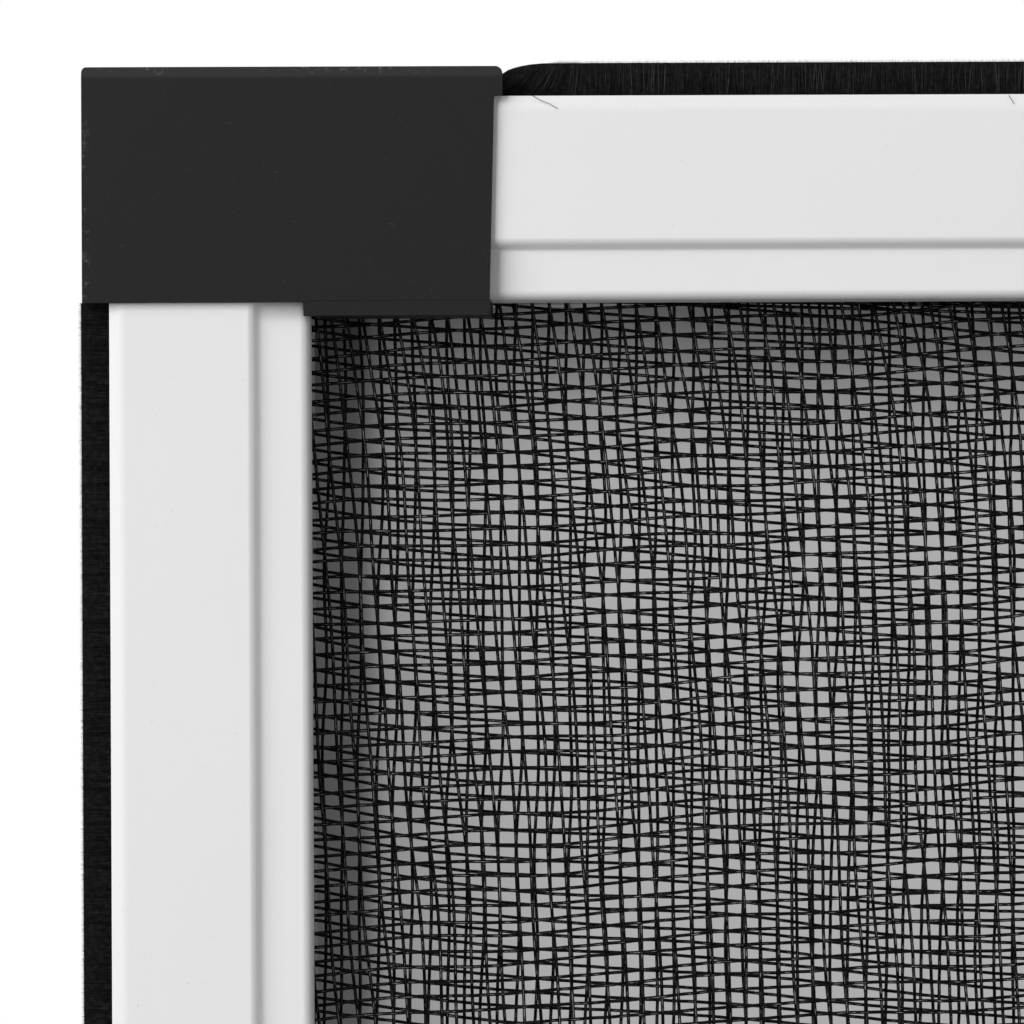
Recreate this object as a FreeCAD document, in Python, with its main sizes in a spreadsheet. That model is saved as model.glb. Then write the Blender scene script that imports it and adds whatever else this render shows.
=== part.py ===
"""Extendable window screen: two framed mesh panels, back to back, one sliding along the other.

Frame of reference: X along the slide, Y from the room side to the far side, Z up. The origin is the
middle of the closed screen's bottom edge. Sizes are in millimetres.

Both panels are built alike in panel coordinates: x from the outer end, y from the visible face, z up
from the sill. The rear panel is the front one turned half way round the Z axis.
"""
import FreeCAD, Part
import os

import Sketcher
from FreeCAD import Placement, Rotation, Vector

# Driving dimensions: alias, value, what it measures
DIMENSIONS = [
    ("panel_width", 750, "one panel over its corner pieces"),
    ("panel_height", 500, "one panel over its corner pieces"),
    ("panel_gap", 0.4, "running gap between the two panels' backs"),
    ("rail_width", 18.6, "top and bottom extrusions, outer edge to mesh edge"),
    ("stile_width", 18.2, "side extrusions, outer edge to mesh edge"),
    ("profile_depth", 8, "extrusion, visible face to back"),
    ("flange_width", 5.2, "lower flange that holds the mesh, next to the raised band"),
    ("band_step", 0.9, "drop from the band to the flange"),
    ("step_slope", 0.4, "width that the drop takes"),
    ("band_rounding", 0.7, "outer front edge of an extrusion"),
    ("flange_rounding", 1.2, "edge of an extrusion along the mesh"),
    ("chamber_start", 3.5, "outer edge to the closed chamber"),
    ("chamber_width", 8.8, "chamber across the profile"),
    ("chamber_depth", 3.2, "chamber from front wall to web"),
    ("front_wall", 1.1, "wall in front of the chamber"),
    ("brush_lip", 0.9, "thickness of the lips that hold a brush"),
    ("brush_mouth", 3.2, "slot that the pile stands out of"),
    ("brush_cavity", 5.2, "slot that the brush backing runs in"),
    ("brush_cavity_depth", 1.5, "depth of that slot"),
    ("channel_centre", 7.9, "outer edge to the middle of the guide channel"),
    ("channel_mouth", 3.4, "guide channel at the back face"),
    ("channel_cavity", 6.4, "guide channel behind its lips"),
    ("channel_depth", 1.7, "depth behind the lips"),
    ("channel_lip", 0.9, "thickness of the channel's lips"),
    ("mesh_setback", 1.4, "back of the extrusion to the mesh"),
    ("groove_wall", 1.2, "wall between the spline groove and the mesh opening"),
    ("groove_width", 3.0, "spline groove"),
    ("groove_depth", 3.4, "mesh to the groove's floor"),
    ("spline_diameter", 2.4, "cord that holds the mesh"),
    ("rail_cap", 2.7, "corner wall over the rail's outer edge"),
    ("side_cap", 2.4, "corner wall over the stile's outer edge"),
    ("plate", 0.6, "corner plate, proud of the band"),
    ("arm_reach", 16.7, "corner plate over the rail"),
    ("cap_reach", 0.9, "rail cap past the end of the plate"),
    ("lip_height", 1.4, "corner lip along the rail's mesh edge"),
    ("lip_setback", 0.2, "corner lip behind the plate's face"),
    ("lip_start", 0.4, "corner block to the start of the lip"),
    ("corner_rounding", 0.8, "outer vertex of a corner piece"),
    ("plate_rounding", 0.6, "front edges of a corner piece"),
    ("tenon_length", 26, "corner tenon inside an extrusion"),
    ("tenon_lead", 0.8, "bevel at a tenon's end"),
    ("core_wall", 1.6, "walls round the hollows in a corner's back"),
    ("core_depth", 3.6, "those hollows from the back face"),
    ("core_span_x", 13, "those hollows along the rail, all together"),
    ("core_span_z", 14, "those hollows along the stile, all together"),
    ("guide_end", 36, "panel's inner end to the far end of its guide"),
    ("fit_clearance", 0.1, "tenon, spline and brush to the walls round them"),
    ("run_clearance", 0.3, "guide, stops and mesh to what passes them"),
    ("pile_width", 2.8, "brush pile through the slot's mouth"),
    ("backing_thickness", 0.9, "brush backing"),
    ("pile_bevel", 0.5, "edges of the pile's tips"),
    ("mesh_thickness", 0.4, "two crossing strands"),
    ("strand_overlap", 0.1, "depth that crossing strands share"),
    ("strand_width", 5, "strand of the coarse weave"),
    ("mesh_border", 1.6, "closed edge of the mesh"),
    ("hem_thickness", 0.3, "mesh turned down into the groove"),
    ("hem_depth", 2.4, "that hem from the mesh plane"),
    ("mesh_columns", 12, "gaps across a panel"),
    ("mesh_rows", 10, "gaps up a panel"),
]

# Sizes worked out from the driving ones
BLOCK_WIDTH = "(Sizes.side_cap + Sizes.stile_width)"
BLOCK_HEIGHT = "(Sizes.rail_cap + Sizes.rail_width)"
ARM_END = f"({BLOCK_WIDTH} + Sizes.arm_reach)"
RAIL_RUN = f"(Sizes.panel_width - 2 * {BLOCK_WIDTH})"
STILE_RUN = f"(Sizes.panel_height - 2 * {BLOCK_HEIGHT})"
CHAMBER_END = "(Sizes.chamber_start + Sizes.chamber_width)"
CHAMBER_BACK = "(Sizes.front_wall + Sizes.chamber_depth)"
CHANNEL_BACK = "(Sizes.profile_depth - Sizes.channel_lip)"
CHANNEL_FLOOR = f"({CHANNEL_BACK} - Sizes.channel_depth)"
BRUSH_CENTRE = "(Sizes.profile_depth / 2)"
BRUSH_FLOOR = "(Sizes.brush_lip + Sizes.brush_cavity_depth)"
RAIL_BRUSH_START = "(Sizes.arm_reach + Sizes.cap_reach + Sizes.fit_clearance)"
FAR_HEAD_START = f"({BLOCK_WIDTH} + Sizes.run_clearance)"
MESH_PLANE = "(Sizes.profile_depth - Sizes.mesh_setback)"
GROOVE_FLOOR = f"({MESH_PLANE} - Sizes.groove_depth)"
MESH_CLEAR = f"({MESH_PLANE} - Sizes.run_clearance)"
MESH_BACK = f"({MESH_PLANE} + Sizes.mesh_thickness)"
HEM_EDGE = "(Sizes.groove_wall + Sizes.hem_thickness)"
MESH_LEFT = f"({BLOCK_WIDTH} - {HEM_EDGE})"
MESH_RIGHT = f"(Sizes.panel_width - {MESH_LEFT})"
MESH_LOW = f"({BLOCK_HEIGHT} - {HEM_EDGE})"
MESH_HIGH = f"(Sizes.panel_height - {MESH_LOW})"
COLUMN_PITCH = f"(({MESH_RIGHT} - {MESH_LEFT}) / Sizes.mesh_columns)"
ROW_PITCH = f"(({MESH_HIGH} - {MESH_LOW}) / Sizes.mesh_rows)"

# The four edges of a panel: where its extrusion starts, how far it is turned about Y, its run and width
EDGES = {
    "bottom_rail": (BLOCK_WIDTH, "Sizes.rail_cap", 0, RAIL_RUN, "Sizes.rail_width"),
    "outer_stile": (
        "Sizes.side_cap",
        f"Sizes.panel_height - {BLOCK_HEIGHT}",
        90,
        STILE_RUN,
        "Sizes.stile_width",
    ),
    "top_rail": (
        f"Sizes.panel_width - {BLOCK_WIDTH}",
        "Sizes.panel_height - Sizes.rail_cap",
        180,
        RAIL_RUN,
        "Sizes.rail_width",
    ),
    "inner_stile": (
        "Sizes.panel_width - Sizes.side_cap",
        BLOCK_HEIGHT,
        270,
        STILE_RUN,
        "Sizes.stile_width",
    ),
}
PANELS = {"front": -1, "rear": 1}  # the side of the X-Z plane that each panel lies on

doc = FreeCAD.newDocument("WindowScreen")
sizes = doc.addObject("Spreadsheet::Sheet", "Sizes")
for row, (alias, value, meaning) in enumerate(DIMENSIONS, start=1):
    sizes.set(f"A{row}", meaning)
    sizes.set(f"B{row}", str(value))
    sizes.setAlias(f"B{row}", alias)
doc.recompute()

pieces = []


def new_body(label):
    body = doc.addObject("PartDesign::Body", label)
    body.Label = label
    return body


def new_sketch(body, role, name, offset="0"):
    """A sketch on one of the body's own origin planes, moved along the plane's normal."""
    plane = next(item for item in body.Origin.OriginFeatures if item.Role == role)
    sketch = body.newObject("Sketcher::SketchObject", name)
    sketch.AttachmentSupport = [(plane, "")]
    sketch.MapMode = "FlatFace"
    sketch.setExpression("AttachmentOffset.Base.z", offset)
    return sketch


def value_of(expression):
    return float(doc.Sizes.evalExpression(expression.replace("Sizes.", "")))


def tie(sketch, geometry, point, across, up):
    """Fix a point of a sketch at two distances from its origin."""
    for kind, expression in (("DistanceX", across), ("DistanceY", up)):
        size = value_of(expression)
        index = sketch.addConstraint(Sketcher.Constraint(kind, -1, 1, geometry, point, size))
        sketch.setExpression(f"Constraints[{index}]", expression)


def add_outline(sketch, points):
    """A closed line through the points, each given as two expressions."""
    first = sketch.GeometryCount
    corners = [Vector(value_of(across), value_of(up), 0) for across, up in points]
    for start, end in zip(corners, corners[1:] + corners[:1]):
        sketch.addGeometry(Part.LineSegment(start, end), False)
    for index, (across, up) in enumerate(points):
        following = (index + 1) % len(points)
        sketch.addConstraint(Sketcher.Constraint("Coincident", first + index, 2, first + following, 1))
        tie(sketch, first + index, 1, across, up)


def add_rectangle(sketch, left, right, low, high):
    add_outline(sketch, [(left, low), (right, low), (right, high), (left, high)])


def add_circle(sketch, across, up, diameter):
    centre = Vector(value_of(across), value_of(up), 0)
    geometry = sketch.addGeometry(Part.Circle(centre, Vector(0, 0, 1), value_of(diameter) / 2), False)
    tie(sketch, geometry, 3, across, up)
    index = sketch.addConstraint(Sketcher.Constraint("Diameter", geometry, value_of(diameter)))
    sketch.setExpression(f"Constraints[{index}]", diameter)


def pad(body, sketch, length, backwards=False):
    feature = body.newObject("PartDesign::Pad", f"{sketch.Name}_pad")
    feature.Profile = sketch
    feature.Reversed = backwards
    feature.setExpression("Length", length)
    doc.recompute()
    return feature


def pocket(body, sketch, depth, backwards=False):
    before = body.Shape.Volume
    feature = body.newObject("PartDesign::Pocket", f"{sketch.Name}_pocket")
    feature.Profile = sketch
    feature.Reversed = backwards
    feature.setExpression("Length", depth)
    doc.recompute()
    if body.Shape.Volume >= before:
        raise RuntimeError(f"{feature.Name} cuts nothing")
    return feature


def dress(body, kind, name, size, wanted):
    """A fillet or chamfer on the edges whose middle the test picks."""
    base = body.Tip
    names = [
        f"Edge{number}"
        for number, edge in enumerate(base.Shape.Edges, start=1)
        if wanted(edge.valueAt((edge.FirstParameter + edge.LastParameter) / 2))
    ]
    feature = body.newObject(kind, name)
    feature.Base = (base, names)
    feature.setExpression("Radius" if kind.endswith("Fillet") else "Size", size)
    doc.recompute()
    return feature


def near(value, expression):
    return abs(value - value_of(expression)) < 1e-4


def place(piece, side, across="0", up="0", turn=0):
    """Set a piece into its panel: turned about Y, then into the front or the rear panel."""
    about_z = Rotation(Vector(0, 0, 1), 0 if side < 0 else 180)
    about_y = Rotation(Vector(0, 1, 0), turn)
    piece.Placement = Placement(Vector(0, 0, 0), about_z * about_y)
    piece.setExpression("Placement.Base.x", f"{side} * (Sizes.panel_width / 2 - ({across}))")
    piece.setExpression("Placement.Base.y", f"{side} * (Sizes.panel_gap / 2 + Sizes.profile_depth)")
    piece.setExpression("Placement.Base.z", up)
    pieces.append(piece)


def make_extrusion(label, run, width):
    """An aluminium extrusion along X: the band, the flange, three open slots and a chamber."""
    groove_end = f"({width} - Sizes.groove_wall)"
    groove_start = f"({groove_end} - Sizes.groove_width)"
    band_end = f"({width} - Sizes.flange_width)"
    step_end = f"({band_end} + Sizes.step_slope)"

    def slot(centre, opening, sign):
        return f"({centre} {sign} {opening} / 2)"

    channel = [
        (slot("Sizes.channel_centre", size, sign), depth)
        for size, sign, depth in (
            ("Sizes.channel_mouth", "+", "Sizes.profile_depth"),
            ("Sizes.channel_mouth", "+", CHANNEL_BACK),
            ("Sizes.channel_cavity", "+", CHANNEL_BACK),
            ("Sizes.channel_cavity", "+", CHANNEL_FLOOR),
            ("Sizes.channel_cavity", "-", CHANNEL_FLOOR),
            ("Sizes.channel_cavity", "-", CHANNEL_BACK),
            ("Sizes.channel_mouth", "-", CHANNEL_BACK),
            ("Sizes.channel_mouth", "-", "Sizes.profile_depth"),
        )
    ]
    brush_slot = [
        (slot(BRUSH_CENTRE, size, sign), height)
        for size, sign, height in (
            ("Sizes.brush_mouth", "+", "0"),
            ("Sizes.brush_mouth", "+", "Sizes.brush_lip"),
            ("Sizes.brush_cavity", "+", "Sizes.brush_lip"),
            ("Sizes.brush_cavity", "+", BRUSH_FLOOR),
            ("Sizes.brush_cavity", "-", BRUSH_FLOOR),
            ("Sizes.brush_cavity", "-", "Sizes.brush_lip"),
            ("Sizes.brush_mouth", "-", "Sizes.brush_lip"),
            ("Sizes.brush_mouth", "-", "0"),
        )
    ]
    body = new_body(label)
    section = new_sketch(body, "YZ_Plane", f"{label}_section")
    add_outline(
        section,
        [
            ("0", "0"),
            ("0", band_end),
            ("Sizes.band_step", step_end),
            ("Sizes.band_step", width),
            (MESH_PLANE, width),
            (MESH_PLANE, groove_end),
            (GROOVE_FLOOR, groove_end),
            (GROOVE_FLOOR, groove_start),
            ("Sizes.profile_depth", groove_start),
            *[(depth, height) for height, depth in channel],
            ("Sizes.profile_depth", "0"),
            *brush_slot,
        ],
    )
    add_rectangle(section, "Sizes.front_wall", CHAMBER_BACK, "Sizes.chamber_start", CHAMBER_END)
    pad(body, section, run)

    def along_run(point):
        return near(point.x, f"{run} / 2")

    dress(
        body,
        "PartDesign::Fillet",
        f"{label}_band_edge",
        "Sizes.band_rounding",
        lambda point: along_run(point) and near(point.y, "0") and near(point.z, "0"),
    )
    dress(
        body,
        "PartDesign::Fillet",
        f"{label}_mesh_edge",
        "Sizes.flange_rounding",
        lambda point: along_run(point) and near(point.y, "Sizes.band_step") and near(point.z, width),
    )
    return body


def make_brush(label, start, run, height):
    """Pile woven into a flat backing, which runs in the extrusion's outer slot."""
    backing_low = "(Sizes.brush_lip + Sizes.fit_clearance)"
    backing_high = f"({backing_low} + Sizes.backing_thickness)"
    backing_half = "(Sizes.brush_cavity / 2 - Sizes.fit_clearance)"
    pile_half = "(Sizes.pile_width / 2)"
    right = [
        (f"{BRUSH_CENTRE} + {pile_half} - Sizes.pile_bevel", f"-({height})"),
        (f"{BRUSH_CENTRE} + {pile_half}", f"Sizes.pile_bevel - ({height})"),
        (f"{BRUSH_CENTRE} + {pile_half}", backing_low),
        (f"{BRUSH_CENTRE} + {backing_half}", backing_low),
        (f"{BRUSH_CENTRE} + {backing_half}", backing_high),
    ]
    left = [(across.replace(" + ", " - ", 1), up) for across, up in reversed(right)]
    left[-1] = (f"{BRUSH_CENTRE} - {pile_half} + Sizes.pile_bevel", f"-({height})")
    body = new_body(label)
    section = new_sketch(body, "YZ_Plane", f"{label}_section", start)
    add_outline(section, right + left)
    pad(body, section, f"{run} - 2 * {start}")
    return body


def make_spline(label, run, width):
    """Round cord pressed into the groove, beside the mesh's hem."""
    centre = "(Sizes.spline_diameter / 2 + Sizes.fit_clearance)"
    body = new_body(label)
    section = new_sketch(body, "YZ_Plane", f"{label}_section")
    add_circle(
        section,
        f"{GROOVE_FLOOR} + {centre}",
        f"{width} - Sizes.groove_wall - Sizes.groove_width + {centre}",
        "Sizes.spline_diameter",
    )
    pad(body, section, run)
    return body


def add_guide(body, label):
    """Double headed guide: one head in its own channel, the other in the other panel's channel."""
    own_half = "(Sizes.channel_cavity / 2 - Sizes.fit_clearance)"
    far_half = "(Sizes.channel_cavity / 2 - Sizes.run_clearance)"
    neck_half = "(Sizes.channel_mouth / 2 - Sizes.run_clearance)"
    far_lips = "(Sizes.profile_depth + Sizes.panel_gap + Sizes.channel_lip)"
    own_front = f"{CHANNEL_FLOOR} + Sizes.fit_clearance"
    own_back = f"{CHANNEL_BACK} - Sizes.fit_clearance"
    far_front = f"{far_lips} + Sizes.run_clearance"
    far_back = f"{far_lips} + Sizes.channel_depth - Sizes.run_clearance"
    centre = "Sizes.rail_cap + Sizes.channel_centre"
    own_head = new_sketch(body, "YZ_Plane", f"{label}_own_head", BLOCK_WIDTH)
    add_rectangle(own_head, own_front, own_back, f"{centre} - {own_half}", f"{centre} + {own_half}")
    pad(body, own_head, f"Sizes.guide_end - {BLOCK_WIDTH}")

    # The other panel's block fills the start of its rail, so the far head begins past it
    steps = [
        (own_back, neck_half),
        (far_front, neck_half),
        (far_front, far_half),
        (far_back, far_half),
    ]
    high = [(depth, f"{centre} + {half}") for depth, half in steps]
    low = [(depth, f"{centre} - {half}") for depth, half in reversed(steps)]
    far_head = new_sketch(body, "YZ_Plane", f"{label}_far_head", FAR_HEAD_START)
    add_outline(far_head, high + low)
    pad(body, far_head, f"Sizes.guide_end - {FAR_HEAD_START}")


def make_corner(label, with_guide):
    """Moulded corner piece, drawn as the one at the outer end of the bottom edge."""
    body = new_body(label)
    block = new_sketch(body, "YZ_Plane", f"{label}_block")
    add_rectangle(block, "-Sizes.plate", "Sizes.profile_depth", "0", BLOCK_HEIGHT)
    pad(body, block, BLOCK_WIDTH)

    # The arm's plate follows the step of the rail under it
    plate = new_sketch(body, "YZ_Plane", f"{label}_plate")
    band_end = f"({BLOCK_HEIGHT} - Sizes.flange_width)"
    add_outline(
        plate,
        [
            ("-Sizes.plate", "0"),
            ("0", "0"),
            ("0", band_end),
            ("Sizes.band_step", f"{band_end} + Sizes.step_slope"),
            ("Sizes.band_step", BLOCK_HEIGHT),
            ("-Sizes.plate", BLOCK_HEIGHT),
        ],
    )
    pad(body, plate, ARM_END)

    # Only the outer corner pieces have the lip along the rail's mesh edge
    if not with_guide:
        lip = new_sketch(body, "YZ_Plane", f"{label}_lip", f"{BLOCK_WIDTH} + Sizes.lip_start")
        front, top = "Sizes.lip_setback - Sizes.plate", f"{BLOCK_HEIGHT} + Sizes.lip_height"
        add_rectangle(lip, front, MESH_CLEAR, BLOCK_HEIGHT, top)
        pad(body, lip, "Sizes.arm_reach - Sizes.lip_start")

    # The front edges are rounded before the cap, which runs a little further, is added
    dress(
        body,
        "PartDesign::Fillet",
        f"{label}_plate_end",
        "Sizes.plate_rounding / 2",
        lambda point: near(point.y, "-Sizes.plate") and near(point.x, ARM_END),
    )
    cap = new_sketch(body, "YZ_Plane", f"{label}_cap")
    add_rectangle(cap, "-Sizes.plate", "Sizes.profile_depth", "0", "Sizes.rail_cap")
    pad(body, cap, f"{ARM_END} + Sizes.cap_reach")
    dress(
        body,
        "PartDesign::Fillet",
        f"{label}_vertex",
        "Sizes.corner_rounding",
        lambda point: near(point.x, "0") and near(point.z, "0"),
    )
    dress(
        body,
        "PartDesign::Fillet",
        f"{label}_front_edge",
        "Sizes.plate_rounding",
        lambda point: near(point.y, "-Sizes.plate")
        and (near(point.x, "0") or near(point.z, "0")),
    )

    # Room behind the block for the corner of the mesh
    relief = new_sketch(body, "XZ_Plane", f"{label}_relief", f"-{MESH_CLEAR}")
    groove = "(Sizes.groove_wall + Sizes.groove_width)"
    add_rectangle(
        relief, f"{BLOCK_WIDTH} - {groove}", BLOCK_WIDTH, f"{BLOCK_HEIGHT} - {groove}", BLOCK_HEIGHT
    )
    pocket(body, relief, f"Sizes.profile_depth - {MESH_CLEAR}")

    # Four hollows in the back keep the moulding's walls even
    hollows = new_sketch(body, "XZ_Plane", f"{label}_hollows", "-Sizes.profile_depth")
    hollow_x = "((Sizes.core_span_x - Sizes.core_wall) / 2)"
    hollow_z = "((Sizes.core_span_z - Sizes.core_wall) / 2)"
    for column in range(2):
        for line in range(2):
            left = f"Sizes.core_wall + {column} * ({hollow_x} + Sizes.core_wall)"
            low = f"Sizes.core_wall + {line} * ({hollow_z} + Sizes.core_wall)"
            add_rectangle(hollows, left, f"{left} + {hollow_x}", low, f"{low} + {hollow_z}")
    pocket(body, hollows, "Sizes.core_depth", backwards=True)

    # Tenons for the rail's chamber and the stile's chamber
    front = "Sizes.front_wall + Sizes.fit_clearance"
    back = f"{CHAMBER_BACK} - Sizes.fit_clearance"
    start = "Sizes.chamber_start + Sizes.fit_clearance"
    end = f"{CHAMBER_END} - Sizes.fit_clearance"
    rail_tenon = new_sketch(body, "YZ_Plane", f"{label}_rail_tenon", BLOCK_WIDTH)
    add_rectangle(rail_tenon, front, back, f"Sizes.rail_cap + {start}", f"Sizes.rail_cap + {end}")
    pad(body, rail_tenon, "Sizes.tenon_length")
    stile_tenon = new_sketch(body, "XY_Plane", f"{label}_stile_tenon", BLOCK_HEIGHT)
    add_rectangle(stile_tenon, f"Sizes.side_cap + {start}", f"Sizes.side_cap + {end}", front, back)
    pad(body, stile_tenon, "Sizes.tenon_length")
    dress(
        body,
        "PartDesign::Chamfer",
        f"{label}_tenon_leads",
        "Sizes.tenon_lead",
        lambda point: near(point.x, f"{BLOCK_WIDTH} + Sizes.tenon_length")
        or near(point.z, f"{BLOCK_HEIGHT} + Sizes.tenon_length"),
    )
    if with_guide:
        add_guide(body, label)
    return body


def mirror_upwards(body, label):
    """The corner at the other end of a stile: the same piece mirrored at half height."""
    other = doc.addObject("Part::Mirroring", label)
    other.Label = label
    other.Source = body
    other.Normal = Vector(0, 0, 1)
    other.setExpression("Base.z", "Sizes.panel_height / 2")
    pieces.append(other)


def repeat(body, name, axis_role, pitch, count):
    """Repeat the body's last feature along one of its origin axes."""
    pattern = body.newObject("PartDesign::LinearPattern", name)
    pattern.Originals = [body.Tip]
    axis = next(item for item in body.Origin.OriginFeatures if item.Role == axis_role)
    pattern.Direction = (axis, [""])
    pattern.setExpression("Length", f"{pitch} * ({count} - 1)")
    pattern.setExpression("Occurrences", count)
    body.Tip = pattern
    doc.recompute()


def make_mesh(label):
    """Mesh as a coarse weave: upright strands in front, level strands behind, hems at the edges."""
    body = new_body(label)
    border = new_sketch(body, "XZ_Plane", f"{label}_border", f"-{MESH_PLANE}")
    add_rectangle(border, MESH_LEFT, MESH_RIGHT, MESH_LOW, MESH_HIGH)
    inner = "Sizes.mesh_border"
    add_rectangle(
        border,
        f"{MESH_LEFT} + {inner}",
        f"{MESH_RIGHT} - {inner}",
        f"{MESH_LOW} + {inner}",
        f"{MESH_HIGH} - {inner}",
    )
    pad(body, border, "Sizes.mesh_thickness", backwards=True)

    strand_depth = "(Sizes.mesh_thickness + Sizes.strand_overlap) / 2"
    upright = new_sketch(body, "XZ_Plane", f"{label}_upright", f"-{MESH_PLANE}")
    middle = f"{MESH_LEFT} + {COLUMN_PITCH}"
    half = "Sizes.strand_width / 2"
    add_rectangle(upright, f"{middle} - {half}", f"{middle} + {half}", MESH_LOW, MESH_HIGH)
    pad(body, upright, strand_depth, backwards=True)
    repeat(body, f"{label}_uprights", "X_Axis", COLUMN_PITCH, "Sizes.mesh_columns - 1")

    level = new_sketch(body, "XZ_Plane", f"{label}_level", f"-{MESH_BACK}")
    middle = f"{MESH_LOW} + {ROW_PITCH}"
    add_rectangle(level, MESH_LEFT, MESH_RIGHT, f"{middle} - {half}", f"{middle} + {half}")
    pad(body, level, strand_depth)
    repeat(body, f"{label}_levels", "Z_Axis", ROW_PITCH, "Sizes.mesh_rows - 1")

    hems = new_sketch(body, "XZ_Plane", f"{label}_hems", f"-{MESH_PLANE}")
    hem = "Sizes.hem_thickness"
    rail_start = f"{BLOCK_WIDTH} + Sizes.run_clearance"
    rail_end = f"Sizes.panel_width - {BLOCK_WIDTH} - Sizes.run_clearance"
    stile_start = f"{BLOCK_HEIGHT} + Sizes.run_clearance"
    stile_end = f"Sizes.panel_height - {BLOCK_HEIGHT} - Sizes.run_clearance"
    add_rectangle(hems, rail_start, rail_end, MESH_LOW, f"{MESH_LOW} + {hem}")
    add_rectangle(hems, rail_start, rail_end, f"{MESH_HIGH} - {hem}", MESH_HIGH)
    add_rectangle(hems, MESH_LEFT, f"{MESH_LEFT} + {hem}", stile_start, stile_end)
    add_rectangle(hems, f"{MESH_RIGHT} - {hem}", MESH_RIGHT, stile_start, stile_end)
    pad(body, hems, "Sizes.hem_depth")
    return body


for panel, side in PANELS.items():
    for edge, (across, up, turn, run, width) in EDGES.items():
        is_rail = edge.endswith("rail")
        place(make_extrusion(f"{panel}_{edge}", run, width), side, across, up, turn)
        place(make_spline(f"{panel}_{edge}_spline", run, width), side, across, up, turn)
        brush_start = RAIL_BRUSH_START if is_rail else "Sizes.fit_clearance"
        brush_height = "Sizes.rail_cap" if is_rail else "Sizes.side_cap"
        brush = make_brush(f"{panel}_{edge}_brush", brush_start, run, brush_height)
        place(brush, side, across, up, turn)

    outer_corner = make_corner(f"{panel}_outer_bottom_corner", with_guide=False)
    place(outer_corner, side)
    mirror_upwards(outer_corner, f"{panel}_outer_top_corner")
    inner_corner = make_corner(f"{panel}_inner_top_corner", with_guide=True)
    place(inner_corner, side, "Sizes.panel_width", "Sizes.panel_height", 180)
    mirror_upwards(inner_corner, f"{panel}_inner_bottom_corner")
    place(make_mesh(f"{panel}_mesh"), side)

doc.recompute()
for item in doc.Objects:
    if {"Invalid", "Error"} & set(item.State):
        raise RuntimeError(f"{item.Name} is {item.State}")
os.makedirs("parts", exist_ok=True)
for piece in pieces:
    if piece.Shape.isNull() or not piece.Shape.isValid() or len(piece.Shape.Solids) != 1:
        raise RuntimeError(f"{piece.Label} isn't one valid solid")
    piece.Shape.exportStep(f"parts/{piece.Label}.step")
travel = value_of("panel_width - 2 * guide_end - run_clearance")
print(f"{len(pieces)} pieces; the rear panel can slide {travel:.1f} mm")
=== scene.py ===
# %% [markdown]
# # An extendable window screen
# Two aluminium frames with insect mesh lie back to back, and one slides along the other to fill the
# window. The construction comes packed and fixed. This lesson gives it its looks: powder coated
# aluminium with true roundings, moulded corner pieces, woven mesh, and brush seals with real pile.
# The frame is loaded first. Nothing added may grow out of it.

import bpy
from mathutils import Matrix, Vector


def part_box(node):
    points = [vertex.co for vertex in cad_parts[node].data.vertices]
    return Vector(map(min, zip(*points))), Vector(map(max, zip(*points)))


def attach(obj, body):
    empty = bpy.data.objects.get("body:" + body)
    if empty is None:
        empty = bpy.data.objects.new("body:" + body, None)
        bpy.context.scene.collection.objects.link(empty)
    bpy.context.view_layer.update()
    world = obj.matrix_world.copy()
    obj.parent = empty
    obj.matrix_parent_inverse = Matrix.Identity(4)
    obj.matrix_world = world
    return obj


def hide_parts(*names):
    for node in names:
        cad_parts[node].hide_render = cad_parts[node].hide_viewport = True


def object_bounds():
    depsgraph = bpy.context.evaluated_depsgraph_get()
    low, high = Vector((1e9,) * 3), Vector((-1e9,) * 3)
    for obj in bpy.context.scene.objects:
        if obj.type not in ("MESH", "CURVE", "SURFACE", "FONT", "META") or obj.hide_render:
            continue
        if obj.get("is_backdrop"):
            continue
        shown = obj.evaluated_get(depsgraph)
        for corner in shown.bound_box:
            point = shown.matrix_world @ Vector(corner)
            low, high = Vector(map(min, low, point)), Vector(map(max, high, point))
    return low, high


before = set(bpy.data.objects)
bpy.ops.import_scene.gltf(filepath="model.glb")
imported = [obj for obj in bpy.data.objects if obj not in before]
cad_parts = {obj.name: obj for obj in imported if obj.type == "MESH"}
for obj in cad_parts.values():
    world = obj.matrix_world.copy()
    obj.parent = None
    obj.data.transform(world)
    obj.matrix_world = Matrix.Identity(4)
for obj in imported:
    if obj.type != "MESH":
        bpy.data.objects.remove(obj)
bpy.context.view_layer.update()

# %% [markdown]
# ## Sizes
# The pieces are drawn in millimetres, in the panel's own coordinates: x from the panel's outer end, y
# from the visible face into the depth, z up. Each panel's place comes from the frame, and so do the
# sizes of its extrusions. Only the forms inside a section are written here.

# %% Sizes and places
import math

import bpy
import numpy as np
from mathutils import Matrix, Vector

MM = 0.001
NEAR = 0.01
PANELS = ("front", "rear")


def node_box(node):
    """Lowest and highest corner of a node in millimetres."""
    low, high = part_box(node)
    return Vector(low) / MM, Vector(high) / MM


def node_size(node):
    low, high = node_box(node)
    return high - low


rail = node_size("front_bottom_rail")
stile = node_size("front_outer_stile")
RAIL_RUN, DEPTH, RAIL_WIDTH = rail.x, rail.y, rail.z
STILE_RUN, STILE_WIDTH = stile.z, stile.x
corner_low = node_box("front_outer_bottom_corner")[0]
inner_high = node_box("front_inner_top_corner")[1]
bottom_low = node_box("front_bottom_rail")[0]
side_low = node_box("front_outer_stile")[0]
PANEL_WIDTH = inner_high.x - corner_low.x
PANEL_HEIGHT = inner_high.z - corner_low.z
RAIL_CAP = bottom_low.z - corner_low.z
SIDE_CAP = side_low.x - corner_low.x
PLATE = bottom_low.y - corner_low.y
BLOCK_WIDTH = SIDE_CAP + STILE_WIDTH
BLOCK_HEIGHT = RAIL_CAP + RAIL_WIDTH

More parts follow.
